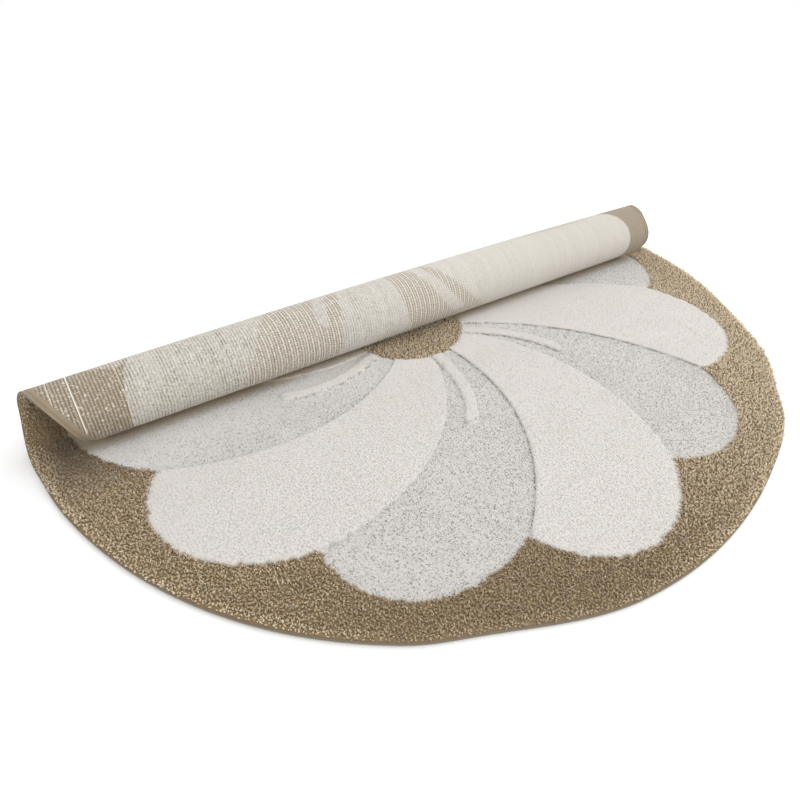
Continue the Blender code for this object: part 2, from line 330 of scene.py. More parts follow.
def groove_distance(u, v):
    """The distance to the nearest carved line: a cream petal's first edge, or a stripe's side."""
    radius = np.hypot(u, v)
    nearest = np.full(np.shape(radius), 1.0)
    for index, present in zip(range(0, len(PETAL_EDGES), 2), GROOVE_SHARES):
        row = PETAL_EDGES[index]
        step = 0.001
        turn = edge_angle(row, radius + step) - edge_angle(row, radius)
        slant = np.cos(np.arctan(np.radians(turn) / step * radius))
        off = turned_off(angle_of(u, v), edge_angle(row, radius))
        away = np.abs(np.radians(off)) * radius * slant
        away[(radius < DISC_RADIUS) | (radius > row[1])] = 1.0
        if present > GROOVED_FROM:
            nearest = np.minimum(nearest, away)
        off = turned_off(angle_of(u, v), stripe_groove(index + 1, np.maximum(radius, 0.01)))
        away = np.abs(np.radians(off)) * radius / stripe_length(index + 1, radius)
        away[(radius < DISC_RADIUS) | (radius > STRIPE_END - STRIPE_WIDTH / 2.0)] = 1.0
        nearest = np.minimum(nearest, away)
    return nearest


def placed(u, v, height):
    """Carries plan points with their heights in the cloth to their places round the roll."""
    run = np.maximum(v - ROLL_FOOT, 0.0)
    size = 1.0 - ROLL_THINNING * (u / RADIUS) ** 2
    left = ROLL_RADIUS**2 - ROLL_PITCH * run / size / math.pi
    turn = (ROLL_RADIUS - np.sqrt(left)) * 2.0 * math.pi / ROLL_PITCH
    radius = (ROLL_RADIUS - ROLL_PITCH * turn / (2.0 * math.pi)) * size - height
    flat = v <= ROLL_FOOT
    across = np.where(flat, v, ROLL_FOOT + radius * np.sin(turn))
    up = np.where(flat, height, ROLL_RADIUS * size - radius * np.cos(turn))
    return np.stack([MIDDLE.x + u, MIDDLE.y + across, up], axis=-1)


def rug_middle():
    """Where the middle of the flat rug is, from the box of the solid model and its rim."""
    angle = np.arange(0.0, 360.0, 3.0)
    ring_u = rim_radius(angle) * np.cos(np.radians(angle))
    ring_v = rim_radius(angle) * np.sin(np.radians(angle))
    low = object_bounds()[0]
    return Vector((low[0] - ring_u.min(), low[1] - ring_v.min(), 0.0))


def new_piece(name, places, triangles, material, slot, **values):
    """A smooth mesh from arrays, with one number or one vector a point for the material."""
    mesh = bpy.data.meshes.new(name)
    mesh.from_pydata(places.tolist(), [], triangles.tolist())
    mesh.shade_smooth()
    for key, numbers in values.items():
        kind = "FLOAT" if numbers.ndim == 1 else "FLOAT_VECTOR"
        field = "value" if numbers.ndim == 1 else "vector"
        attribute = mesh.attributes.new(key, kind, "POINT")
        attribute.data.foreach_set(field, numbers.astype(np.float32).ravel())
    mesh.materials.append(material)
    piece = bpy.data.objects.new(name, mesh)
    bpy.context.scene.collection.objects.link(piece)
    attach(piece, "root")
    return piece


class Shader:
    """A material, with short calls that add its nodes. A value may be a number or a socket."""

    def __init__(self, name, roughness, sheen=0.0):
        self.material = bpy.data.materials.new(name)
        self.material.use_nodes = True
        self.tree = self.material.node_tree
        self.surface = self.tree.nodes["Principled BSDF"]
        self.surface.inputs["Roughness"].default_value = roughness
        self.surface.inputs["Specular IOR Level"].default_value = 0.25
        self.surface.inputs["Sheen Weight"].default_value = sheen
        self.surface.inputs["Sheen Roughness"].default_value = 0.5

    def put(self, socket, value):
        if isinstance(value, bpy.types.NodeSocket):
            self.tree.links.new(value, socket)
        elif hasattr(value, "__len__") and len(value) == 3 and socket.type == "RGBA":
            socket.default_value = (*value, 1.0)
        else:
            socket.default_value = value

    def node(self, kind, **settings):
        made = self.tree.nodes.new(kind)
        for key, value in settings.items():
            setattr(made, key, value)
        return made

    def math(self, operation, *values):
        made = self.node("ShaderNodeMath", operation=operation)
        for socket, value in zip(made.inputs, values):
            self.put(socket, value)
        return made.outputs[0]

    def product(self, *values):
        """The product of all the values."""
        result = values[0]
        for value in values[1:]:
            result = self.math("MULTIPLY", result, value)
        return result

    def total(self, *values):
        """The sum of all the values."""
        result = values[0]
        for value in values[1:]:
            result = self.math("ADD", result, value)
        return result

    def ramp(self, value, low, high, out_low=0.0, out_high=1.0):
        made = self.node("ShaderNodeMapRange", interpolation_type="SMOOTHSTEP")
        for key, number in (
            ("Value", value),
            ("From Min", low),
            ("From Max", high),
            ("To Min", out_low),
            ("To Max", out_high),
        ):
            self.put(made.inputs[key], number)
        return made.outputs["Result"]

    def mix(self, share, first, second):
        made = self.node("ShaderNodeMix", data_type="RGBA")
        self.put(made.inputs["Factor"], share)
        colours = [socket for socket in made.inputs if socket.type == "RGBA"]
        self.put(colours[0], first)
        self.put(colours[1], second)
        return [socket for socket in made.outputs if socket.type == "RGBA"][0]

    def value(self, name):
        return self.node("ShaderNodeAttribute", attribute_name=name).outputs["Fac"]

    def vector(self, name):
        return self.node("ShaderNodeAttribute", attribute_name=name).outputs["Vector"]

    def combine(self, x, y, z):
        made = self.node("ShaderNodeCombineXYZ")
        for socket, value in zip(made.inputs, (x, y, z)):
            self.put(socket, value)
        return made.outputs[0]

    def split(self, vector):
        made = self.node("ShaderNodeSeparateXYZ")
        self.put(made.inputs[0], vector)
        return made.outputs

    def noise(self, vector, scale, detail=2.0, roughness=0.5):
        made = self.node("ShaderNodeTexNoise")
        self.put(made.inputs["Vector"], vector)
        made.inputs["Scale"].default_value = scale
        made.inputs["Detail"].default_value = detail
        made.inputs["Roughness"].default_value = roughness
        return made.outputs["Fac"]

    def chance(self, vector):
        made = self.node("ShaderNodeTexWhiteNoise", noise_dimensions="2D")
        self.put(made.inputs["Vector"], vector)
        return made.outputs["Value"]

    def bump(self, height, distance, strength=1.0):
        made = self.node("ShaderNodeBump")
        self.put(made.inputs["Height"], height)
        made.inputs["Distance"].default_value = distance
        made.inputs["Strength"].default_value = strength
        self.tree.links.new(made.outputs["Normal"], self.surface.inputs["Normal"])

    def colour(self, value):
        self.put(self.surface.inputs["Base Color"], value)


def position(shader):
    """The place of a point in the model, in metres."""
    return shader.node("ShaderNodeTexCoord").outputs["Object"]


def paint_roll_light_and_shadow(shader, colour):
    """A colour of the flat half with painted light and shadow: lighter in front of the roll, and a
    warm painted shadow where they meet.
    """
    x, y, _ = shader.split(position(shader))
    # Painted light: the pile lighter in front of the roll
    front = shader.product(
        shader.ramp(y, 0.12, 0.225),
        shader.ramp(x, 0.05, 0.35, 0.29, 0.12),
        shader.ramp(y, 0.232, 0.246, 1.0, 0.0),
    )
    colour = shader.mix(front, colour, (1.0, 0.965, 0.92))
    # Painted shadow: darker and warmer where the roll meets the flat half
    return shader.mix(shader.ramp(y, 0.234, 0.260, 0.0, 0.9), colour, (0.52, 0.43, 0.30))


def brown_pile_material():
    """Heather brown yarn: each tuft has its own tone, and a painted shade darkens it towards its
    root.
    """
    shader = Shader("brown_pile", 0.95, 0.80)
    place = position(shader)
    tone = shader.value("tone")
    yarn = shader.mix(shader.ramp(tone, 0.0, 0.6), (0.460, 0.336, 0.188), (0.580, 0.440, 0.262))
    yarn = shader.mix(shader.ramp(tone, 0.75, 1.05), yarn, (0.840, 0.690, 0.470))
    warm = shader.ramp(shader.noise(place, 26.0, 3.0), 0.50, 0.75)
    yarn = shader.mix(shader.product(warm, 0.4), yarn, (0.460, 0.310, 0.155))
    # Painted shade: a darker patch at the front. Painted light: the yarn lighter towards the right
    # and the back, less so near the roll
    away = shader.node("ShaderNodeVectorMath", operation="DISTANCE")
    shader.put(away.inputs[0], place)
    shader.put(away.inputs[1], PAINTED_SHADE_MIDDLE)
    painted_shade = shader.ramp(away.outputs["Value"], 0.10, 0.32, 0.45, 0.0)
    yarn = shader.mix(painted_shade, yarn, (0.275, 0.182, 0.078))
    x, y, _ = shader.split(place)
    across = shader.math("MULTIPLY_ADD", y, 0.8, x)
    painted_light_right = shader.product(shader.ramp(across, -0.35, 0.25), shader.ramp(y, -0.05, 0.30, 1.0, 0.6))
    yarn = shader.mix(shader.product(painted_light_right, 0.64), yarn, (0.940, 0.785, 0.555))
    yarn = shader.mix(shader.ramp(tone, 0.0, 0.35, 0.75, 0.0), yarn, (0.275, 0.190, 0.100))
    base = shader.mix(painted_light_right, (0.265, 0.188, 0.100), (0.350, 0.255, 0.142))
    # Little light reaches the yarn in the fold at the left end of the roll
    fold = shader.product(
        shader.ramp(y, 0.13, 0.25),
        shader.ramp(x, -0.50, -0.36, 0.97, 0.0),
        shader.ramp(x, -0.592, -0.562, 0.1, 1.0),
    )
    yarn = shader.mix(fold, yarn, (0.165, 0.108, 0.053))
    base = shader.mix(fold, base, (0.125, 0.083, 0.042))
    # Painted shade between the tufts: each tuft darker towards its root
    root = shader.ramp(shader.value("rise"), 0.0, 0.65, 0.90, 0.0)
    shader.colour(shader.mix(root, yarn, base))
    shader.bump(shader.noise(place, 2600.0, 2.0), 0.0003, 0.6)
    return shader.material


def soft_pile_material(name, light, dark, speck, painted_root_shade):
    """Soft cut pile: a pale yarn with some darker tufts, a slow change of tone, a painted shade at
    the roots of the tufts, and painted light and shadow beside the roll.
    """
    shader = Shader(name, 0.9, 0.20)
    place = position(shader)
    tone = shader.value("tone")
    slow = shader.ramp(shader.noise(place, 9.0, 4.0), 0.35, 0.70, 0.0, 0.30)
    fine = shader.ramp(shader.noise(place, 170.0, 2.0), 0.35, 0.70, 0.0, 0.10 + speck)
    spots = shader.ramp(shader.noise(place, 330.0, 1.0), 0.55, 0.68, 0.0, 2.5 * speck)
    yarn = shader.mix(slow, light, dark)
    yarn = shader.mix(fine, yarn, dark)
    yarn = shader.mix(spots, yarn, dark)
    yarn = shader.mix(shader.ramp(tone, 1.0 - speck, 1.0, 0.0, 0.9), yarn, dark)
    # Painted shade between the tufts: each tuft darker towards its root
    root = shader.ramp(shader.value("rise"), 0.0, 0.8, painted_root_shade, 0.0)
    # Painted light and shadow beside the roll
    shader.colour(paint_roll_light_and_shadow(shader, shader.mix(root, yarn, dark)))
    shader.bump(shader.noise(place, 2200.0, 2.0), 0.0002, 0.5)
    return shader.material


def groove_material():
    """Dark tufts in the carved lines, a painted shade of the grooves."""
    shader = Shader("groove_shade_tufts", 0.95)
    shader.colour(shader.mix(shader.value("tone"), (0.260, 0.190, 0.115), (0.560, 0.460, 0.330)))
    shader.bump(shader.noise(position(shader), 2200.0, 2.0), 0.0002, 0.5)
    return shader.material


def cloth_material():
    """The ground under the tufts on one face, and the ribbed woven back on the other."""
    shader = Shader("woven_cloth", 0.93, 0.10)
    plan = shader.vector("plan")
    u, v, _ = shader.split(plan)
    brown = shader.value("brown_share")
    grey = shader.value("grey_share")
    # Slightly uneven ribs along V, and the knots along each rib
    wobble = shader.product(shader.noise(plan, 45.0, 2.0), 0.30)
    phase = shader.total(shader.math("DIVIDE", u, RIB), wobble)
    crest = shader.math("COSINE", shader.product(phase, 2.0 * math.pi))
    crest = shader.math("MULTIPLY_ADD", crest, 0.5, 0.5)
    number = shader.math("FLOOR", shader.total(phase, 0.5))
    parity = shader.math("FLOORED_MODULO", number, 2.0)
    shift = shader.total(
        shader.chance(shader.combine(number, 0.5, 0.0)),
        shader.product(shader.noise(plan, 60.0, 2.0), 2.5),
    )
    along = shader.total(shader.math("DIVIDE", v, KNOT), shift)
    bulge = shader.math("SINE", shader.product(shader.math("FRACT", along), math.pi))
    chance = shader.chance(shader.combine(number, shader.math("FLOOR", along), 0.0))
    streak_place = shader.combine(shader.product(number, 0.73), shader.product(v, 14.0), 0.0)
    streak = shader.noise(streak_place, 1.0, 2.0)
    grain = shader.noise(plan, 700.0, 3.0, 0.6)

    # The back behind cream, grey and brown pile. The hollows between the knots of the cream back get
    # a painted shade, stronger on the left where the ribs show more
    left = shader.ramp(u, -0.40, 0.30, 1.0, 0.0)
    ribbed = shader.math("MULTIPLY_ADD", left, 0.40, 0.30)
    rib_tone = shader.chance(shader.combine(number, 7.5, 0.0))
    half_rib = shader.math("FLOOR", shader.product(phase, 2.0))
    half_knot = shader.math("FLOOR", shader.product(along, 2.0))
    dot = shader.chance(shader.combine(half_rib, half_knot, 3.5))
    bead = shader.product(crest, shader.math("MULTIPLY_ADD", bulge, 0.80, 0.20))
    hollow = shader.product(ribbed, shader.math("SUBTRACT", 1.0, bead))
    cream = shader.mix(hollow, (0.715, 0.687, 0.642), (0.400, 0.365, 0.315))
    cream = shader.mix(shader.product(rib_tone, 0.16), cream, (0.400, 0.365, 0.310))
    thin = shader.math("SUBTRACT", 1.0, shader.product(parity, 0.45))
    bright = shader.product(shader.ramp(bead, 0.25, 0.80), thin)
    beige = shader.mix(shader.ramp(grain, 0.35, 0.65), (0.470, 0.420, 0.350), (0.310, 0.268, 0.212))
    striped = shader.mix(bright, beige, (0.860, 0.830, 0.765))
    border = shader.mix(bead, (0.200, 0.158, 0.104), (0.545, 0.467, 0.355))
    back = shader.mix(grey, cream, striped)
    back = shader.mix(brown, back, border)
    # Streaks of dark knots, light flecks in the border, and single light and dark dots
    dark_knot = shader.product(
        shader.ramp(chance, 0.35, 0.60, 1.0, 0.0),
        shader.ramp(streak, 0.47, 0.60),
        left,
        shader.ramp(crest, 0.20, 0.50, 0.85, 0.0),
    )
    back = shader.mix(dark_knot, back, (0.150, 0.130, 0.105))
    fleck = shader.product(shader.ramp(chance, 0.88, 0.96), bead, 0.7, brown, left)
    back = shader.mix(fleck, back, (0.860, 0.820, 0.740))
    back = shader.mix(shader.ramp(grain, 0.40, 0.70, 0.0, 0.30), back, (0.300, 0.255, 0.195))
    dotted = shader.math("MULTIPLY_ADD", left, 0.36, 0.04)
    light_dot = shader.product(shader.ramp(dot, 0.86, 0.94), dotted)
    back = shader.mix(light_dot, back, (0.820, 0.780, 0.700))
    dark_dot = shader.product(shader.ramp(dot, 0.18, 0.26, 1.0, 0.0), dotted)
    back = shader.mix(dark_dot, back, (0.240, 0.200, 0.150))
    # Painted shade: the back darker towards its right end, and its brown border too
    back = shader.mix(shader.ramp(u, 0.0, 0.45, 0.0, 0.27), back, (0.400, 0.365, 0.310))
    painted_end_shade = shader.product(brown, shader.ramp(u, 0.30, 0.50, 0.0, 0.30))
    back = shader.mix(painted_end_shade, back, (0.200, 0.158, 0.104))
    for place, width, share in LIGHT_THREADS:
        away = shader.math("ABSOLUTE", shader.math("SUBTRACT", u, place))
        line = shader.ramp(away, width * 0.5, width, share, 0.0)
        back = shader.mix(line, back, (0.880, 0.850, 0.780))
    # The ground under the tufts, with painted light and shadow beside the roll
    ground = shader.mix(grey, (0.675, 0.642, 0.604), (0.605, 0.583, 0.555))
    ground = shader.mix(brown, paint_roll_light_and_shadow(shader, ground), (0.275, 0.196, 0.108))
    shader.colour(shader.mix(shader.value("pile_side"), back, ground))
    high = (shader.product(crest, 0.4), shader.product(bulge, 0.5), shader.product(grain, 0.4))
    shader.bump(shader.total(*high), 0.0005, 0.8)
    return shader.material


def tape_material():
    """Woven tape: fine slanted ribs, with a soft change of tone along it, and a painted shade on its
    outer edge.
    """
    shader = Shader("binding_tape", 0.85, 0.08)
    run, across, _ = shader.split(shader.vector("plan"))
    slant = shader.math("DIVIDE", shader.total(run, across), TAPE_RIB)
    rib = shader.ramp(shader.math("SINE", shader.product(slant, 2.0 * math.pi)), -1.0, 1.0)
    slow = shader.noise(position(shader), 30.0, 3.0)
    tape = shader.mix(rib, (0.270, 0.210, 0.140), (0.430, 0.350, 0.255))
    tape = shader.mix(shader.ramp(slow, 0.35, 0.70, 0.0, 0.5), tape, (0.300, 0.240, 0.165))
    for place in (0.0062, 0.0083):
        away = shader.math("ABSOLUTE", shader.math("SUBTRACT", across, place))
        tape = shader.mix(shader.ramp(away, 0.0002, 0.0009, 0.6, 0.0), tape, (0.150, 0.110, 0.070))
    # Painted shade: the tape's outer edge darker, where it faces out and down
    outer = shader.ramp(across, 0.0108, 0.0122, 0.0, 0.85)
    tape = shader.mix(outer, tape, (0.200, 0.160, 0.110))
    shader.colour(tape)
    shader.bump(rib, 0.0003, 0.6)
    return shader.material


def thread_material():
    """Sewing thread with its twist."""
    shader = Shader("sewing_thread", 0.7)
    x, y, z = shader.split(position(shader))
    turn = shader.product(shader.total(x, y, z), 2.0 * math.pi / THREAD_TWIST)
    ply = shader.ramp(shader.math("SINE", turn), -1.0, 1.0)
    shader.colour(shader.mix(ply, (0.270, 0.215, 0.150), (0.360, 0.290, 0.210)))
    shader.bump(ply, 0.0001, 0.5)
    return shader.material


def plan_mesh(ring, points):
    """The triangles that fill a closed ring, with more points inside it. The ring comes first."""
    scale = 1000.0
    sites = np.concatenate([ring, points]) * scale
    found = delaunay_2d_cdt([Vector(p) for p in sites], [], [list(range(len(ring)))], 1, 1e-3)
    plan = np.array([tuple(p) for p in found[0]]) / scale
    triangles = np.array(found[2])
    a, b, c = (plan[triangles[:, i]] for i in range(3))
    turn = np.cross(b - a, c - a)
    triangles[turn < 0] = triangles[turn < 0][:, ::-1]
    return plan, triangles


def grid(low_v, high_v, step_u, step_v, inset):
    """Plan points on a grid between two ends along V, further inside the rim than the inset."""
    reach = RADIUS * 1.02
    count = math.ceil(reach / step_u)
    across = np.arange(-count, count + 1) * step_u
    along = np.arange(low_v, high_v, step_v)
    u, v = (part.ravel() for part in np.meshgrid(across, along))
    keep = depth_inside(u, v) > inset
    return np.stack([u[keep], v[keep]], axis=-1)


def ground_height(u, v):
    """The ground that the tufts stand on."""
    kind = pile_at(u, v)
    height = np.choose(kind, GROUND_HEIGHTS)
    grooved = (groove_distance(u, v) < GROOVE_HALF_WIDTH) & (kind != BROWN)
    height = np.where(grooved, GROOVE_BOTTOM, height)
    rim = np.clip(depth_inside(u, v) / GROUND_SLOPE, 0.0, 1.0)
    return GROUND_AT_RIM + (height - GROUND_AT_RIM) * rim


def step_points():
    """Plan points close to both sides of the petal edges, where the ground steps."""
    found = []
    for index, row in enumerate(PETAL_EDGES):
        radius = np.arange(DISC_RADIUS + 0.002, row[1] - 0.002, EDGE_SPACING)
        angle = np.radians(edge_angle(row, radius))
        for side in CARVED_SIDES if index % 2 == 0 else PLAIN_SIDES:
            found.append((radius, angle + side / radius))
        if index % 2 == 1:
            radius = radius[radius < STRIPE_END - STRIPE_WIDTH / 2.0]
            angle = np.radians(stripe_angle(index, radius))
            length = stripe_length(index, radius)
            for side in PLAIN_SIDES:
                turn = (STRIPE_WIDTH / 2.0 + side) * length / radius
                found.append((radius, angle + turn))
                found.append((radius, angle - turn))
    radius = np.concatenate([part[0] for part in found])
    angle = np.concatenate([part[1] for part in found])
    points = np.stack([radius * np.cos(angle), radius * np.sin(angle)], axis=-1)
    return points[points[:, 1] < PILE_REACH]


def make_cloth():
    """The cloth: the ground of the pile, the ribbed back and the edge between them."""
    count = 720
    angle = np.arange(count) * 360.0 / count
    ring = rim_ring(angle, CLOTH_INSET)
    near_top = grid(NEAR_END, PILE_REACH, 0.005, 0.005, 0.004)
    far_top = grid(0.035, FAR_END, 0.012, 0.009, 0.010)
    # The back has three points a rib where the roll shows it, and few elsewhere
    clear = TAPE_BAND + CLEAR_OF_TAPE
    outer_back = grid(-0.010, 0.365, RIB / 3.0, 0.0052, clear)
    near_back = grid(NEAR_END, -0.015, 0.012, 0.012, clear)
    inner_back = grid(0.375, FAR_END, 0.012, 0.008, clear)
    under_tape = rim_ring(angle, TAPE_BAND - BESIDE_TAPE)
    beside_tape = rim_ring(angle, TAPE_BAND + BESIDE_TAPE)
    back_points = [under_tape, beside_tape, near_back, outer_back, inner_back]
    top_plan, top_faces = plan_mesh(ring, np.concatenate([near_top, far_top, step_points()]))
    back_plan, back_faces = plan_mesh(ring, np.concatenate(back_points))
    top = placed(top_plan[:, 0], top_plan[:, 1], ground_height(*top_plan.T))
    rolled = np.clip((back_plan[:, 1] - 0.004) / 0.02, 0.0, 1.0)
    rib = RIB_DEPTH * (0.5 - 0.5 * np.cos(back_plan[:, 0] * 2.0 * math.pi / RIB)) * rolled
    covered = depth_inside(back_plan[:, 0], back_plan[:, 1]) < TAPE_BAND
    back = placed(back_plan[:, 0], back_plan[:, 1], np.where(covered, COVERED_BACK, rib))
    near = np.arange(count)
    after = np.roll(near, -1)
    base = len(top)
    wall = np.concatenate(
        [
            np.stack([near, base + near, base + after], axis=-1),
            np.stack([near, base + after, after], axis=-1),
        ]
    )
    faces = np.concatenate([top_faces, back_faces[:, ::-1] + base, wall])
    plan = np.concatenate([top_plan, back_plan])
    kind = pile_at(plan[:, 0], plan[:, 1])
    side = np.concatenate([np.ones(len(top)), np.zeros(len(back))])
    cloth = new_piece(
        "woven_cloth",
        np.concatenate([top, back]),
        faces,
        cloth_material(),
        "pile",
        plan=np.column_stack([plan, np.zeros(len(plan))]),
        pile_side=side,
        brown_share=(kind == BROWN).astype(float),
        grey_share=(kind == GREY).astype(float),
    )
    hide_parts("rug_cloth")
    return cloth


def scattered(spacing, low_v, high_v, inset, draw):
    """Plan points about a spacing apart in disorder, further inside the rim than the inset."""
    reach = RADIUS * 1.02
    columns = np.arange(-reach, reach, spacing)
    rows = np.arange(low_v, high_v, spacing * 0.87)
    u, v = np.meshgrid(columns, rows)
    u[1::2] += spacing / 2.0
    u = (u + draw.uniform(-0.8, 0.8, u.shape) * spacing).ravel()
    v = (v + draw.uniform(-0.8, 0.8, v.shape) * spacing).ravel()
    keep = (depth_inside(u, v) > inset) & (v > low_v) & (v < high_v)
    return u[keep], v[keep]


def make_tufts(name, u, v, root, tip, width, lean, rings, material, draw, painted_rim_light=0.0):
    """Three-sided bent tufts. rings are pairs: a share of the height, and of the width there.

    The last argument, a painted light, is added to the random tone of each tuft.
    """
    count = len(u)
    sides = 3
    start = draw.uniform(0.0, 2.0 * math.pi, count)
    plan_u = []
    plan_v = []
    heights = []
    rises = []
    for rise, share in rings:
        for side in range(sides):
            turn = start + 2.0 * math.pi * side / sides + rise
            plan_u.append(u + lean[0] * rise**1.6 + width * share * np.cos(turn))
            plan_v.append(v + lean[1] * rise**1.6 + width * share * np.sin(turn))
            heights.append(root + (tip - root) * rise)
            rises.append(np.full(count, rise))
    plan_u.append(u + lean[0])
    plan_v.append(v + lean[1])
    heights.append(tip)
    rises.append(np.ones(count))
    template = []
    for ring in range(len(rings) - 1):
        for side in range(sides):
            a = ring * sides + side
            b = ring * sides + (side + 1) % sides
            template.append((a, b, b + sides))
            template.append((a, b + sides, a + sides))
    last = (len(rings) - 1) * sides
    for side in range(sides):
        template.append((last + side, last + (side + 1) % sides, sides * len(rings)))
    size = sides * len(rings) + 1
    faces = (np.array(template)[None] + np.arange(count)[:, None, None] * size).reshape(-1, 3)
    places = placed(
        np.stack(plan_u, axis=-1).ravel(),
        np.stack(plan_v, axis=-1).ravel(),
        np.stack(heights, axis=-1).ravel(),
    )
    tone = np.repeat(draw.uniform(0.0, 1.0, count) + painted_rim_light, size)
    return new_piece(
        name,
        places,
        faces,
        material,
        "pile",
        tone=tone,
        rise=np.stack(rises, axis=-1).ravel(),
    )


def leans(count, reach, draw):
    """Random sideways leans, up to a reach."""
    turn = draw.uniform(0.0, 2.0 * math.pi, count)
    amount = reach * np.sqrt(draw.uniform(0.05, 1.0, count))
    return np.stack([np.cos(turn) * amount, np.sin(turn) * amount])


def make_brown(name, low_v, high_v, spacing, seed, material):
    """The shaggy brown pile of the border and the disc."""
    draw = np.random.default_rng(seed)
    u, v = scattered(spacing, low_v, high_v, 0.0006, draw)
    depth = depth_inside(u, v)
    # The pile hangs further over the edge on the right, from nothing to all of it
    hang = np.clip((u + v + 0.25) / 0.30, 0.0, 1.0)
    keep = pile_at(u + draw.normal(0.0, 0.0007, len(u)), v) == BROWN
    keep &= (v < PILE_REACH) | (depth < ROLLED_PILE)
    keep &= depth > 0.0020 - 0.0014 * hang
    u, v, depth, hang = u[keep], v[keep], depth[keep], hang[keep]
    count = len(u)
    rim = np.clip((depth - 0.0015) / BROWN_RIM_WIDTH, 0.0, 1.0)
    clump = np.sin(u * 260.0 + 2.0 * np.sin(v * 190.0))
    clump *= np.sin(v * 240.0 + 2.0 * np.sin(u * 170.0))
    tip = BORDER_HEIGHT + draw.uniform(-0.0018, 0.0006, count) + 0.0006 * clump
    tip = BROWN_RIM_TIP + (tip - BROWN_RIM_TIP) * np.sqrt(rim)
    lean = leans(count, 0.0030, draw)
    outward = (1.0 - rim) * (0.0010 + 0.0014 * hang) * draw.uniform(0.3, 1.8, count)
    radius = np.hypot(u, v)
    lean[0] += outward * u / radius
    lean[1] += outward * v / radius
    tip = np.where((v > -0.012) & (v < 0.0), np.minimum(tip, TIP_AT_FOOT), tip)
    root = np.full(count, BROWN_ROOT)
    width = draw.uniform(0.0010, 0.0015, count)
    rings = ((0.0, 0.8), (0.70, 1.0))
    # Painted light: tufts close to the rim get a lighter tone
    painted_rim_light = 0.7 * np.clip(1.0 - depth / 0.014, 0.0, 1.0)
    return make_tufts(name, u, v, root, tip, width, lean, rings, material, draw, painted_rim_light)


def make_soft(name, wanted, top, uneven, reach, seed, spacing, material):
    """The short soft pile of the cream or the grey petals."""
    draw = np.random.default_rng(seed)
    u, v = scattered(spacing, NEAR_END, PILE_REACH, 0.004, draw)
    u_edge = u + draw.normal(0.0, 0.0008, len(u))
    v_edge = v + draw.normal(0.0, 0.0008, len(u))
    keep = pile_at(u_edge, v_edge) == wanted
    keep &= groove_distance(u_edge, v_edge) > GROOVE_CLEAR
    u, v = u[keep], v[keep]
    tip = top + draw.uniform(-0.6, 0.4, len(u)) * uneven
    lean = leans(len(u), reach, draw)
    width = np.full(len(u), spacing * 0.62)
    rings = ((0.0, 1.0),)
    return make_tufts(name, u, v, tip - SOFT_TUFT, tip, width, lean, rings, material, draw)


def make_grooves(material):
    """Painted shade in the carved lines: dark tufts in broken rows."""
    draw = np.random.default_rng(15)
    point_step = 0.0007
    block_length = 0.005
    u, v, tip = [], [], []
    for index, present in zip(range(0, len(PETAL_EDGES), 2), GROOVE_SHARES):
        row = PETAL_EDGES[index]
        for kind in ("petal", "stripe"):
            stop = row[1] - 0.003 if kind == "petal" else STRIPE_END - STRIPE_WIDTH / 2.0
            radius = np.arange(DISC_RADIUS + 0.003, stop, point_step)
            if kind == "petal":
                angle = edge_angle(row, radius)
            else:
                angle = stripe_groove(index + 1, radius)
            block = np.floor(radius / block_length).astype(int)
            shown = draw.uniform(0.0, 1.0, block.max() + 1)[block] < present
            shown &= draw.uniform(0.0, 1.0, len(radius)) < 0.75
            across = draw.normal(-0.0003, 0.0005, len(radius)) / radius
            turn = np.radians(angle) + across
            u.append((radius * np.cos(turn))[shown])
            v.append((radius * np.sin(turn))[shown])
            tip.append(draw.uniform(0.0066, 0.0086, int(shown.sum())))
    u, v, tip = (np.concatenate(part) for part in (u, v, tip))
    near = v < PILE_REACH
    u, v, tip = u[near], v[near], tip[near]
    lean = leans(len(u), 0.0008, draw)
    width = draw.uniform(0.0003, 0.0005, len(u))
    rings = ((0.0, 1.0), (0.8, 0.8))
    root = tip - GROOVE_TUFT
    return make_tufts("groove_shade_tufts", u, v, root, tip, width, lean, rings, material, draw)


def make_binding():
    """The sewn tape: a thin band on the back that turns up round the edge of the cloth."""
    profile = (
        # how far inside the rim, height above the back, distance across the tape
        (0.0110, 0.0008, 0.0),
        (0.0112, 0.0003, 0.0006),
        (0.0108, 0.0000, 0.0010),
        (0.0085, 0.0000, 0.0033),
        (0.0062, 0.0000, 0.0056),
        (0.0047, 0.0004, 0.0071),
        (0.0040, 0.0004, 0.0078),
        (0.0030, 0.0000, 0.0088),
        (0.0014, 0.0000, 0.0104),
        (0.0005, 0.0005, 0.0116),
        (0.0000, 0.0016, 0.0129),
        (-0.0001, 0.0030, 0.0143),
        (0.0002, 0.0044, 0.0158),
        (0.0009, 0.0051, 0.0168),
        (0.0017, 0.0049, 0.0177),
        (0.0020, 0.0040, 0.0186),
        (0.0021, 0.0012, 0.0214),
        (0.0060, 0.0010, 0.0253),
    )
    count = 760
    angle = np.arange(count) * 360.0 / count
    radius = rim_radius(angle)
    cosine = np.cos(np.radians(angle))
    sine = np.sin(np.radians(angle))
    step = np.hypot(np.diff(radius * cosine, append=radius[0]), np.diff(radius * sine, append=0.0))
    run = np.concatenate([[0.0], np.cumsum(step)[:-1]])
    u, v, height, plan = [], [], [], []
    for inset, up, across in profile:
        u.append((radius - inset) * cosine)
        v.append((radius - inset) * sine)
        height.append(np.full(count, up))
        plan.append(np.stack([run, np.full(count, across), np.zeros(count)], axis=-1))
    places = placed(*(np.stack(part, axis=1).ravel() for part in (u, v, height)))
    rows = len(profile)
    faces = []
    for row in range(rows):
        beside = (row + 1) % rows
        here = np.arange(count) * rows
        there = np.roll(here, -1)
        faces.append(np.stack([here + row, here + beside, there + beside], axis=-1))
        faces.append(np.stack([here + row, there + beside, there + row], axis=-1))
    tape = new_piece(
        "edge_binding",
        places,
        np.concatenate(faces),
        tape_material(),
        "tape",
        plan=np.stack(plan, axis=1).reshape(-1, 3),
    )
    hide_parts("edge_tape")
    return tape


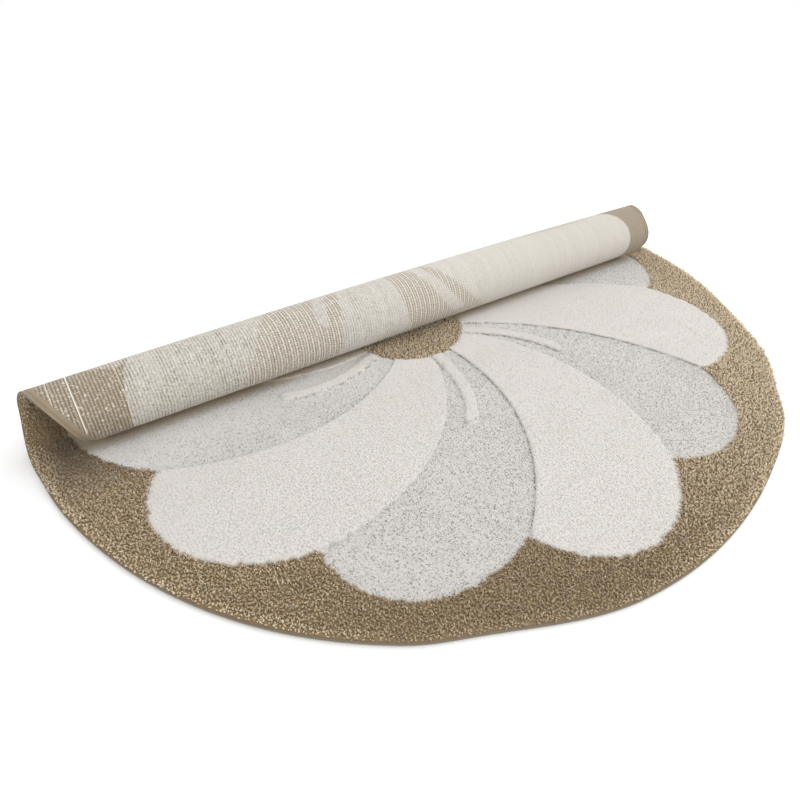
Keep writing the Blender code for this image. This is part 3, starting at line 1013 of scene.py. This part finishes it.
def make_stitches():
    """The stitches that hold the band to the back, where the roll shows them."""
    pitch = 0.0036
    length = 0.0028
    inset = 0.0090
    thick = 0.00026
    shown_from = 0.012  # only the far half turns its back to the eye
    seat = 0.7  # share of its thickness by which a stitch stands clear of the tape
    count = round(2.0 * math.pi * RADIUS / pitch)
    angle = np.arange(count) * 360.0 / count
    radius = rim_radius(angle) - inset
    keep = radius * np.sin(np.radians(angle)) > shown_from
    angle, radius = angle[keep], radius[keep]
    half = np.degrees(length / 2.0 / radius)
    sides = 5
    stops = ((-1.0, 0.35), (-0.7, 1.0), (0.7, 1.0), (1.0, 0.35))
    u, v, height = [], [], []
    for share, round_off in stops:
        turn = np.radians(angle + half * share)
        for side in range(sides):
            bearing = 2.0 * math.pi * side / sides
            out = radius + thick * round_off * math.cos(bearing)
            u.append(out * np.cos(turn))
            v.append(out * np.sin(turn))
            lift = thick * round_off * math.sin(bearing)
            height.append(np.full(len(angle), lift - thick * (round_off - seat)))
    places = placed(*(np.stack(part, axis=1).ravel() for part in (u, v, height)))
    template = []
    for stop in range(len(stops) - 1):
        for side in range(sides):
            a = stop * sides + side
            b = stop * sides + (side + 1) % sides
            template.append((a, b, b + sides))
            template.append((a, b + sides, a + sides))
    for side in range(1, sides - 1):
        last = (len(stops) - 1) * sides
        template.append((0, side + 1, side))
        template.append((last, last + side, last + side + 1))
    size = sides * len(stops)
    faces = (np.array(template)[None] + np.arange(len(angle))[:, None, None] * size).reshape(-1, 3)
    return new_piece("tape_stitches", places, faces, thread_material(), "tape")


def make_stage():
    """A pale floor, soft light from the upper right and the back, and the camera."""
    size = 14.0
    floor_drop = 0.0004
    plain_sky, brighter_sky = 0.98, 0.30
    mesh = bpy.data.meshes.new("floor")
    corners = [(-size, -size, 0.0), (size, -size, 0.0), (size, size, 0.0), (-size, size, 0.0)]
    mesh.from_pydata(corners, [], [(0, 1, 2, 3)])
    shader = Shader("pale_floor", 0.8)
    shader.surface.inputs["Specular IOR Level"].default_value = 0.0
    fine = shader.noise(position(shader), 3.0, 2.0)
    shader.colour(shader.mix(fine, (0.985, 0.985, 0.985), (1.0, 1.0, 1.0)))
    mesh.materials.append(shader.material)
    floor = bpy.data.objects.new("floor", mesh)
    floor.location.z = -floor_drop
    bpy.context.scene.collection.objects.link(floor)

    world = bpy.data.worlds.new("studio")
    world.use_nodes = True
    sky = world.node_tree.nodes["Background"]
    sky.inputs["Color"].default_value = (1.0, 1.0, 1.0, 1.0)
    coordinates = world.node_tree.nodes.new("ShaderNodeTexCoord")
    toward = world.node_tree.nodes.new("ShaderNodeVectorMath")
    toward.operation = "DOT_PRODUCT"
    toward.inputs[1].default_value = (0.50, -0.70, 0.12)
    strength = world.node_tree.nodes.new("ShaderNodeMath")
    strength.operation = "MULTIPLY_ADD"
    strength.inputs[1].default_value = brighter_sky
    strength.inputs[2].default_value = plain_sky
    world.node_tree.links.new(coordinates.outputs["Generated"], toward.inputs[0])
    world.node_tree.links.new(toward.outputs["Value"], strength.inputs[0])
    world.node_tree.links.new(strength.outputs[0], sky.inputs["Strength"])
    bpy.context.scene.world = world

    lamps = (
        # name, power in watts, size in metres, place, point aimed at
        ("key_light", 16.0, 1.8, (1.5, -0.8, 1.6), (0.0, 0.0, 0.0)),
        ("back_light", 12.0, 2.0, (0.6, 1.9, 1.2), (0.0, 0.3, 0.0)),
    )
    for name, power, width, place, aim in lamps:
        light = bpy.data.lights.new(name, "AREA")
        light.shape = "SQUARE"
        light.size = width
        light.energy = power
        lamp = bpy.data.objects.new(name, light)
        lamp.location = place
        lamp.rotation_euler = (Vector(aim) - Vector(place)).to_track_quat("-Z", "Y").to_euler()
        bpy.context.scene.collection.objects.link(lamp)

    lens = bpy.data.cameras.new("photo_camera")
    lens.sensor_width = 36.0
    lens.lens = CAMERA_LENS
    camera = bpy.data.objects.new("photo_camera", lens)
    bearing = math.radians(CAMERA_BEARING)
    back = CAMERA_DISTANCE
    place = MIDDLE + Vector((-back * math.sin(bearing), -back * math.cos(bearing), CAMERA_HEIGHT))
    heading = math.radians(CAMERA_BEARING + CAMERA_YAW)
    turn = Matrix.Rotation(-heading, 4, "Z")
    turn @= Matrix.Rotation(math.radians(90.0 - CAMERA_PITCH), 4, "X")
    turn @= Matrix.Rotation(math.radians(CAMERA_ROLL), 4, "Z")
    camera.matrix_world = Matrix.Translation(place) @ turn
    bpy.context.scene.collection.objects.link(camera)
    bpy.context.scene.camera = camera


for old in list(bpy.data.objects):
    bpy.data.objects.remove(old, do_unlink=True)

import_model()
MIDDLE = rug_middle()

cloth = make_cloth()
brown_yarn = brown_pile_material()
border_pile = make_brown("border_pile", NEAR_END, 0.0, 0.0027, 11, brown_yarn)
rolled_pile = make_brown("rolled_border_pile", 0.0, FAR_END, 0.0034, 12, brown_yarn)
pale_yarn = soft_pile_material("pale_pile", (0.700, 0.668, 0.636), (0.52, 0.490, 0.455), 0.09, 0.35)
grey_yarn = soft_pile_material("grey_pile", (0.930, 0.910, 0.893), (0.27, 0.250, 0.225), 0.34, 0.45)
pale_pile = make_soft("pale_petal_pile", CREAM, CREAM_HEIGHT, 0.0009, 0.0007, 13, 0.0022, pale_yarn)
grey_pile = make_soft("grey_petal_pile", GREY, GREY_HEIGHT, 0.0014, 0.0008, 14, 0.0020, grey_yarn)
grooves = make_grooves(groove_material())
binding = make_binding()
stitches = make_stitches()
make_stage()
bpy.context.scene.view_settings.view_transform = "Standard"
